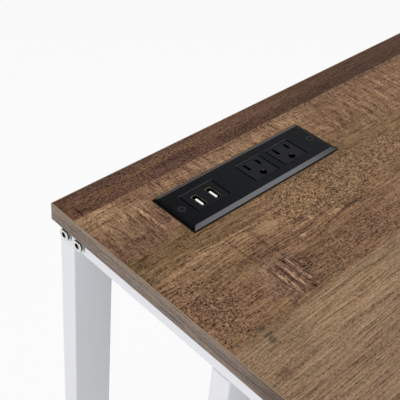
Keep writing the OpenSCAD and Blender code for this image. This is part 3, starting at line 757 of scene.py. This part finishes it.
def wood_top():
    """Laminate printed with worn boards. Beyond the photo's corner they are made up in the same manner."""
    graph = Graph("wood_top", specular=0.04)
    desk = DeskPlace(graph)
    colour, seam = board_ground(desk)
    zones = wood_zones(desk)
    streaks = wood_streaks(desk, zones)
    tone = wood_tone(desk, zones, streaks, seam)
    marks = wood_marks(desk, zones, streaks)

    bark = graph.smooth(desk.grain("bark"), 0.0, 0.5) * zones.first_board * desk.marks("bark")
    right_end = zones.first_board * graph.smooth(desk.u, 90, 300) * 0.75
    blotches = graph.smooth(desk.grain("blotch"), 0.0, 0.5) * zones.sawn * (zones.left_saw * -0.15 + 0.35)
    layers = [
        (bark, "olive"),
        (right_end, "umber"),
        (desk.marks("purple"), "purple"),
        (desk.marks("glow"), "tan"),
        (blotches, "red"),
        (zones.red, "red"),
        (zones.olive, "olive"),
        (marks.pale, "pale"),
        (marks.scratches, "pink"),
        (marks.dark, "dark"),
        (marks.slate, "slate"),
    ]
    for amount, name in layers:
        colour = graph.mix(amount, colour, COLOUR[name])
    tint = graph.join(tone * 0.96 + 1.0, tone * 1.03 + desk.grain("hue") * 0.04 + 1.0, tone * 1.05 + 1.0)
    colour = graph.vector("MULTIPLY", colour, tint)
    colour = graph.mix(bezel_shadow(graph), colour, COLOUR["shadow"])

    height = (streaks.fine * 0.3 + desk.grain("speck") * 0.5 + streaks.fine_saw * zones.sawn * 0.5
              - seam - marks.dark * 0.5)
    return graph.finish(colour, streaks.fine * 0.08 + 0.5, height, depth=0.06 * MM)


def edge_band():
    """Grey brown band with dark streaks along its length, browner in the middle of the desk's depth."""
    graph = Graph("edge_band", specular=0.15)
    x, y, z = graph.split(graph.place)
    along = (x + y) * (1 / MM)
    sag = graph.noise(graph.join(along * 0.008, z * 40.0), detail=1.0) * 2.0
    up = z * (1 / MM) + sag
    below_top = (WORKTOP_Z - z) * (1 / MM)

    def streaks(per_length, per_height, seed, **settings):
        return graph.noise(graph.join(along * per_length, up * per_height, seed), **settings)

    broad = streaks(0.012, 0.45, 1.0, detail=3.0, roughness=0.65)
    thin = streaks(0.022, 0.85, 5.0, roughness=0.7)
    pores = streaks(0.07, 0.75, 7.0, roughness=0.7)
    flecks = streaks(0.3, 0.8, 3.0)
    dashes = graph.smooth(streaks(0.012, 0.8, 9.0, detail=3.0, roughness=0.6), 0.0, 0.4)
    lines = graph.largest(graph.smooth(thin, 0.2, 0.4), graph.smooth(pores, 0.15, 0.4))
    brown = graph.smooth(y, 0.075, 0.02) * graph.smooth(y, -0.18, -0.1)
    colour = graph.mix(brown, COLOUR["band"], COLOUR["band_brown"])
    colour = graph.mix(dashes * graph.smooth(below_top, 3.0, 6.0) * 0.75, colour, COLOUR["band_dash"])
    colour = graph.shade(colour, broad * 0.36 - thin * 0.2 - lines * 0.32 + flecks * 0.3 + 0.09)
    # Painted highlight: a light line along the band's top edge.
    colour = graph.mix(graph.smooth(below_top, 0.9, 0.5) * 0.75, colour, COLOUR["rim_highlight"])
    return graph.finish(colour, thin * 0.06 + 0.5, thin, depth=0.03 * MM)


# Paint and metals

def frame_paint():
    """White powder coat with a faint orange peel."""
    graph = Graph("frame_paint", specular=0.3)
    peel = graph.noise(graph.place, scale=500)
    cloud = graph.noise(graph.place, scale=5)
    colour = graph.shade(COLOUR["paint"], cloud * 0.012 + peel * 0.008)
    return graph.finish(colour, cloud * 0.04 + 0.42, peel, depth=0.012 * MM)


def plated_steel(name, colour, roughness, mottle):
    """Bare or plated metal with a fine grain and faint patches."""
    graph = Graph(name, metallic=1.0)
    fine = graph.noise(graph.place, scale=1400)
    patch = graph.noise(graph.place, scale=90, detail=3.0)
    return graph.finish(graph.shade(colour, patch * mottle + fine * 0.03),
                        patch * 0.06 + fine * 0.04 + roughness, fine, depth=0.006 * MM)


def bright_steel():
    """Plated bolts and washers, with painted shade in the sockets and a painted highlight on their far walls,
    and painted shade on the heads' sides and across their tops.
    """
    graph = Graph("bright_steel", metallic=1.0)
    _, y, z = graph.split(graph.place)
    low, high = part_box("frame_bolts")
    pair_middle = high.y - BOLT_HEAD_R - BOLT_PITCH / 2
    outwards = graph.absolute(y) - pair_middle
    outwards = outwards - graph.math("SIGN", outwards) * (BOLT_PITCH / 2)
    upwards = z - (low.z + high.z) / 2
    socket = graph.smooth(graph.length(graph.join(outwards, upwards)), SOCKET_R * 1.12, SOCKET_R * 0.95)
    lit = graph.smooth(outwards + upwards, 0.5 * MM, -2.0 * MM)
    # Painted shade across the tops of the heads and washers.
    head_top_shade = graph.smooth(upwards, 3.0 * MM, 4.3 * MM)
    # Painted shade: faces that don't face along x, the heads' sides, are darkened.
    facing_x = graph.split(Wire(graph, graph.coordinates.outputs["Normal"]))[0]
    side_shade = graph.smooth(graph.absolute(facing_x), 0.75, 0.35)
    scuff = graph.noise(graph.place, scale=900, detail=3.0, roughness=0.6)
    colour = graph.mix(side_shade * 0.9, COLOUR["plating"], COLOUR["plating_shade"])
    colour = graph.mix(head_top_shade * 0.85, colour, COLOUR["bolt_top_shade"])
    # Painted shade darkens each socket, and a painted highlight lights its far wall.
    colour = graph.mix(socket, colour, graph.mix(lit, COLOUR["socket"], COLOUR["socket_lit"]))
    return graph.finish(graph.shade(colour, scuff * 0.08), scuff * 0.08 + 0.22, scuff, depth=0.008 * MM)


def port_steel():
    """Dull shells of the ports, with a painted highlight at their mouths' back corners, and stamped notches
    on one side.
    """
    graph = Graph("port_steel", metallic=1.0)
    x, y, z = graph.split(graph.place)
    low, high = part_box("usb_shells")
    # Painted highlight: the back corners of the mouths are lighter.
    corner = (graph.smooth(y, high.y - 3 * MM, high.y - 0.5 * MM)
              * graph.smooth(z, high.z - 1.5 * MM, high.z - 0.3 * MM))
    from_middle = x - (low.x + high.x) / 2
    from_port = from_middle - graph.math("SIGN", from_middle) * (PORT_PITCH / 2)
    side = graph.above(from_port, PORT_HALF_W) * graph.above(z, high.z - PORT_RIM_H)
    notch = graph.math("SINE", y * (2 * math.pi / NOTCH_PITCH))
    fine = graph.noise(graph.place, scale=1400)
    colour = graph.mix(corner, COLOUR["shell"], COLOUR["shell_glint"])
    colour = graph.mix(side * graph.smooth(notch, -0.2, 0.3), colour, COLOUR["shell_notch"])
    return graph.finish(graph.shade(colour, fine * 0.05), fine * 0.04 + 0.32, fine, depth=0.004 * MM)


def screw_black():
    """Black screws with a dark ring between the drive and the rim."""
    graph = Graph("black_steel", specular=0.06)
    x, y, z = graph.split(graph.place)
    low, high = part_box("bezel_screws")
    half_apart = (high.x - low.x) / 2 - SCREW_HEAD_R
    from_axis = graph.absolute(graph.absolute(x - (low.x + high.x) / 2) - half_apart)
    radius = graph.length(graph.join(from_axis, y - (low.y + high.y) / 2))
    ring = graph.smooth(radius, SCREW_HEAD_R * 0.6, SCREW_HEAD_R * 0.7)
    rim = graph.smooth(radius, SCREW_HEAD_R * 0.82, SCREW_HEAD_R * 0.9)
    grit = graph.noise(graph.place, scale=900)
    colour = graph.mix(ring, COLOUR["drive"], COLOUR["screw_ring"])
    colour = graph.mix(rim, colour, COLOUR["screw_rim"])
    # Painted shade: the screws are black below the top of their heads.
    colour = graph.mix(graph.below(z, high.z - SCREW_HEAD_H), colour, COLOUR["groove"])
    return graph.finish(graph.shade(colour, grit * 0.1), 0.5, grit, depth=0.01 * MM)


# Plastics

def moulded(name, colour, roughness, specular, texture=0.012, scale=900):
    """Moulded plastic with a fine eroded texture, which is that many millimetres deep."""
    graph = Graph(name, specular=specular)
    grit = graph.noise(graph.place, scale=scale, roughness=0.6)
    patch = graph.noise(graph.place, scale=25)
    return graph.finish(graph.shade(colour, grit * 0.12 + patch * 0.04), patch * 0.03 + roughness,
                        grit, depth=texture * MM)


def highlights_behind_windows(graph, x, y):
    """1 on the bezel's narrow lips behind the three windows, where a highlight is painted."""
    lips = []
    for node in WINDOW_FACES:
        low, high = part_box(node)
        inside = graph.below(graph.absolute(x - (low.x + high.x) / 2), (high.x - low.x) / 2 - FLANGE)
        back = high.y - FLANGE
        lip = graph.smooth(y, back, back + 0.1 * MM) * graph.smooth(y, back + LIP_W, back + LIP_W * 0.6)
        lips.append(inside * lip)
    return graph.largest(*lips)


def ground_glint(graph):
    """1 on the far rims of the ground holes, where a highlight is painted."""
    glints = []
    for node in ("outlet_a_face", "outlet_b_face"):
        low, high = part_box(node)
        rim = Vector(((low.x + high.x) / 2, MODULE.y, WORKTOP_Z)) + GLINT_PLACE
        distance = graph.vector("DISTANCE", graph.place, tuple(rim), output="Value")
        glints.append(graph.smooth(distance, *GLINT_R))
    return graph.largest(*glints)


def module_plastic():
    """Fine grained black plastic, with a painted reflection that makes it greyer to the right, painted
    highlights on the lips behind the windows, and painted shade deep in the grooves.
    """
    graph = Graph("module_plastic", specular=0.03)
    x, y, z = graph.split(graph.place)
    grit = graph.noise(graph.place, scale=900, roughness=0.6)
    # Painted reflection: the plastic turns greyer towards the right.
    right = graph.smooth(x, BEZEL_LOW.x, MODULE.x)
    colour = graph.mix(right, COLOUR["bezel_left"], COLOUR["bezel_sheen"])
    # Painted highlight on the lips behind the windows.
    colour = graph.mix(highlights_behind_windows(graph, x, y), colour, COLOUR["bezel_lip"])
    # Painted shade: black deep in the grooves.
    colour = graph.mix(graph.below(z, WORKTOP_Z + GROOVE_Z), colour, COLOUR["groove"])
    return graph.finish(graph.shade(colour, grit * 0.14), 0.5, grit, depth=0.012 * MM)


def module_gloss():
    """Glossier black of the bezel's slopes and of the faces' edges. Painted shade keeps the lip along the
    bezel's foot and the walls low in the grooves black, without reflection.
    """
    graph = Graph("module_gloss", specular=0.21)
    x, y, z = graph.split(graph.place)
    among_windows = (graph.below(graph.absolute(y - MODULE.y), WINDOW_HALF_W)
                     * graph.below(graph.absolute(x - MODULE.x), WINDOWS_HALF_L))
    # Painted shade: below this height the colour is black and the reflection is tinted out.
    low = graph.below(z, among_windows * (WALL_Z - SLOPE_Z) + (WORKTOP_Z + SLOPE_Z))
    ripple = graph.noise(graph.place, scale=300)
    colour = graph.mix(low, COLOUR["slope"], COLOUR["wall_shade"])
    # Painted highlight on the far rims of the ground holes.
    colour = graph.mix(ground_glint(graph), colour, COLOUR["glint"])
    tint = graph.mix(low, (0.93, 0.94, 1.0, 1.0), (0.0, 0.0, 0.0, 1.0))
    graph.feed(graph.shader.inputs["Specular Tint"], tint)
    return graph.finish(colour, ripple * 0.02 + 0.16, ripple, depth=0.001 * MM)


def outlet_plastic():
    """The outlets' faces are a little lighter than the USB face, and all have black painted shade deep in
    their grooves.
    """
    graph = Graph("outlet_plastic", specular=0.05)
    x, _, z = graph.split(graph.place)
    grit = graph.noise(graph.place, scale=900, roughness=0.6)
    colour = graph.mix(graph.above(x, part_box("usb_face")[1].x), COLOUR["usb"], COLOUR["outlet"])
    # Painted shade: black deep in the grooves.
    colour = graph.mix(graph.below(z, WORKTOP_Z + GROOVE_Z), colour, COLOUR["groove"])
    return graph.finish(graph.shade(colour, grit * 0.12), grit * 0.04 + 0.5, grit, depth=0.01 * MM)


def board_green():
    """Circuit board: solder mask with thin copper tracks under it."""
    graph = Graph("board_green")
    track = graph.smooth(graph.cells(graph.place, scale=420, randomness=0.6), 0.42, 0.5)
    return graph.finish(graph.mix(track, COLOUR["mask"], COLOUR["track"]), 0.3, track, depth=0.03 * MM)


def board_parts():
    """Taped winding and moulded parts, told apart by their place under the board."""
    graph = Graph("board_parts", specular=0.4)
    x, _, z = graph.split(graph.place)
    layers = graph.noise(graph.join(0.0, 0.0, z * 2500.0), detail=1.0)
    winding = graph.below(x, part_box("usb_board")[0].x + WINDING_L)
    colour = graph.mix(winding, COLOUR["chip"], COLOUR["winding"])
    return graph.finish(graph.shade(colour, layers * 0.1), 0.45, layers, depth=0.05 * MM)


def make_materials():
    """A material for each slot of the record, and the gloss of the module's slopes and edges."""
    return {
        "wood_top": wood_top(),
        "edge_band": edge_band(),
        "frame_paint": frame_paint(),
        "bright_steel": bright_steel(),
        "zinc_steel": plated_steel("zinc_steel", COLOUR["zinc"], 0.34, 0.1),
        "black_steel": screw_black(),
        "module_plastic": module_plastic(),
        "module_gloss": module_gloss(),
        "outlet_plastic": outlet_plastic(),
        "housing_plastic": moulded("housing_plastic", COLOUR["housing"], 0.55, 0.2),
        "contact_brass": plated_steel("contact_brass", COLOUR["brass"], 0.3, 0.08),
        "port_steel": port_steel(),
        "port_white": moulded("port_white", COLOUR["tongue"], 0.3, 0.5, texture=0.003),
        "board_green": board_green(),
        "board_parts": board_parts(),
        "foot_plastic": moulded("foot_plastic", COLOUR["foot"], 0.6, 0.3, texture=0.03, scale=500),
    }


# Pieces

def add_object(name, data):
    thing = bpy.data.objects.new(name, data)
    bpy.context.scene.collection.objects.link(thing)
    return thing


def coat(mesh, material):
    mesh.materials.clear()
    mesh.materials.append(material)


def clean_copy(node):
    """A copy of a CAD node's mesh with its doubled points joined and its flat faces merged."""
    mesh = frame["nodes"][node].data.copy()
    if "custom_normal" in mesh.attributes:
        mesh.attributes.remove(mesh.attributes["custom_normal"])
    work = bmesh.new()
    work.from_mesh(mesh)
    bmesh.ops.remove_doubles(work, verts=work.verts, dist=JOINED)
    bmesh.ops.dissolve_limit(work, angle_limit=FLAT, verts=work.verts, edges=work.edges)
    work.to_mesh(mesh)
    work.free()
    return mesh


def softened(name, node, width, sharp, materials):
    """A copy of a CAD node with its sharp edges rounded, which is shown in that node's place."""
    mesh = clean_copy(node)
    mesh.name = name
    piece = add_object(name, mesh)
    bevel = piece.modifiers.new("soft edges", "BEVEL")
    bevel.width = width
    bevel.segments = 2
    bevel.limit_method = "ANGLE"
    bevel.angle_limit = sharp
    bevel.use_clamp_overlap = True
    bevel.harden_normals = True
    mesh.shade_smooth()
    mesh.set_sharp_from_angle(angle=sharp)
    coat(mesh, materials[SLOT_OF[node]])
    if node in GLOSSY_SIDES:
        mesh.materials.append(materials["module_gloss"])
        bevel.material = 1
        for face in mesh.polygons:
            bezel_end = node == "module_bezel" and abs(face.normal.x) > abs(face.normal.y)
            face.material_index = int(abs(face.normal.z) < LEVEL_NORMAL_Z and not bezel_end)
    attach(piece, BODY_OF[node])
    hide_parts(node)


def dress_frame():
    """Gives every CAD node its finish, and rounds the edges of those that need it."""
    materials = make_materials()
    for node, thing in frame["nodes"].items():
        if node in SOFTENED:
            sharp = BEZEL_SHARP if node == "module_bezel" else SHARP
            softened(f"{node}_soft", node, SOFTENED[node] * MM, sharp, materials)
        else:
            coat(thing.data, materials[SLOT_OF[node]])


# Camera, floor and light

def add_camera():
    data = bpy.data.cameras.new("camera")
    data.sensor_width = SENSOR
    data.lens = LENS
    data.shift_x, data.shift_y = SHIFT
    data.clip_start = 0.01
    camera = add_object("camera", data)
    turn = Matrix.Rotation(math.radians(-CAMERA_TURN), 4, "Z")
    tilt = Matrix.Rotation(math.radians(90 - CAMERA_PITCH), 4, "X")
    roll = Matrix.Rotation(math.radians(CAMERA_ROLL), 4, "Z")
    camera.matrix_world = Matrix.Translation(CAMERA_PLACE) @ turn @ tilt @ roll
    bpy.context.scene.camera = camera


def add_floor():
    """A pale floor that shows white and keeps the desk's shadow."""
    half = FLOOR_HALF
    corners = [(-half, -half, 0), (half, -half, 0), (half, half, 0), (-half, half, 0)]
    mesh = bpy.data.meshes.new("floor")
    mesh.from_pydata(corners, [], [(0, 1, 2, 3)])
    floor = add_object("floor", mesh)
    graph = Graph("floor", roughness=0.9, specular=0.0)
    graph.finish(graph.shade(COLOUR["floor"], graph.noise(graph.place, scale=40) * 0.01))
    glow = graph.named("ShaderNodeEmission", {"Color": WHITE, "Strength": 1.0})
    path = graph.node("ShaderNodeLightPath")
    seen = graph.largest(*[Wire(graph, path.outputs[name]) for name in SEEN_RAYS])
    both = graph.node("ShaderNodeMixShader", seen * FLOOR_GLOW)
    graph.links.new(graph.shader.outputs[0], both.inputs[1])
    graph.links.new(glow.outputs[0], both.inputs[2])
    graph.links.new(both.outputs[0], graph.output.inputs["Surface"])
    coat(mesh, graph.material)


def add_world():
    """An even white sky: full white where it is seen, softer where it lights the desk."""
    world = bpy.data.worlds.new("studio")
    bpy.context.scene.world = world
    world.use_nodes = True
    nodes, links = world.node_tree.nodes, world.node_tree.links
    background = nodes["Background"]
    background.inputs["Color"].default_value = WHITE
    path = nodes.new("ShaderNodeLightPath")
    seen = path.outputs[SEEN_RAYS[0]]
    for name in SEEN_RAYS[1:]:
        both = nodes.new("ShaderNodeMath")
        both.operation = "MAXIMUM"
        links.new(seen, both.inputs[0])
        links.new(path.outputs[name], both.inputs[1])
        seen = both.outputs[0]
    level = nodes.new("ShaderNodeMapRange")
    level.inputs["To Min"].default_value = WORLD_LIGHT
    level.inputs["To Max"].default_value = 1.0
    links.new(seen, level.inputs["Value"])
    links.new(level.outputs["Result"], background.inputs["Strength"])


def add_lamps():
    """Rectangular soft lights that face the module, as bright to the eye as their radiance says."""
    for name, lamp in LAMPS.items():
        data = bpy.data.lights.new(name, "AREA")
        data.shape = "RECTANGLE"
        data.size, data.size_y = lamp.size
        data.energy = lamp.radiance * math.pi * lamp.size[0] * lamp.size[1]
        data.color = lamp.colour
        light = add_object(name, data)
        towards = Vector(lamp.direction).normalized()
        light.location = MODULE + towards * lamp.distance
        light.rotation_euler = towards.to_track_quat("Z", "Y").to_euler()


add_camera()
dress_frame()
add_floor()
add_world()
add_lamps()
bpy.context.scene.view_settings.view_transform = "Standard"
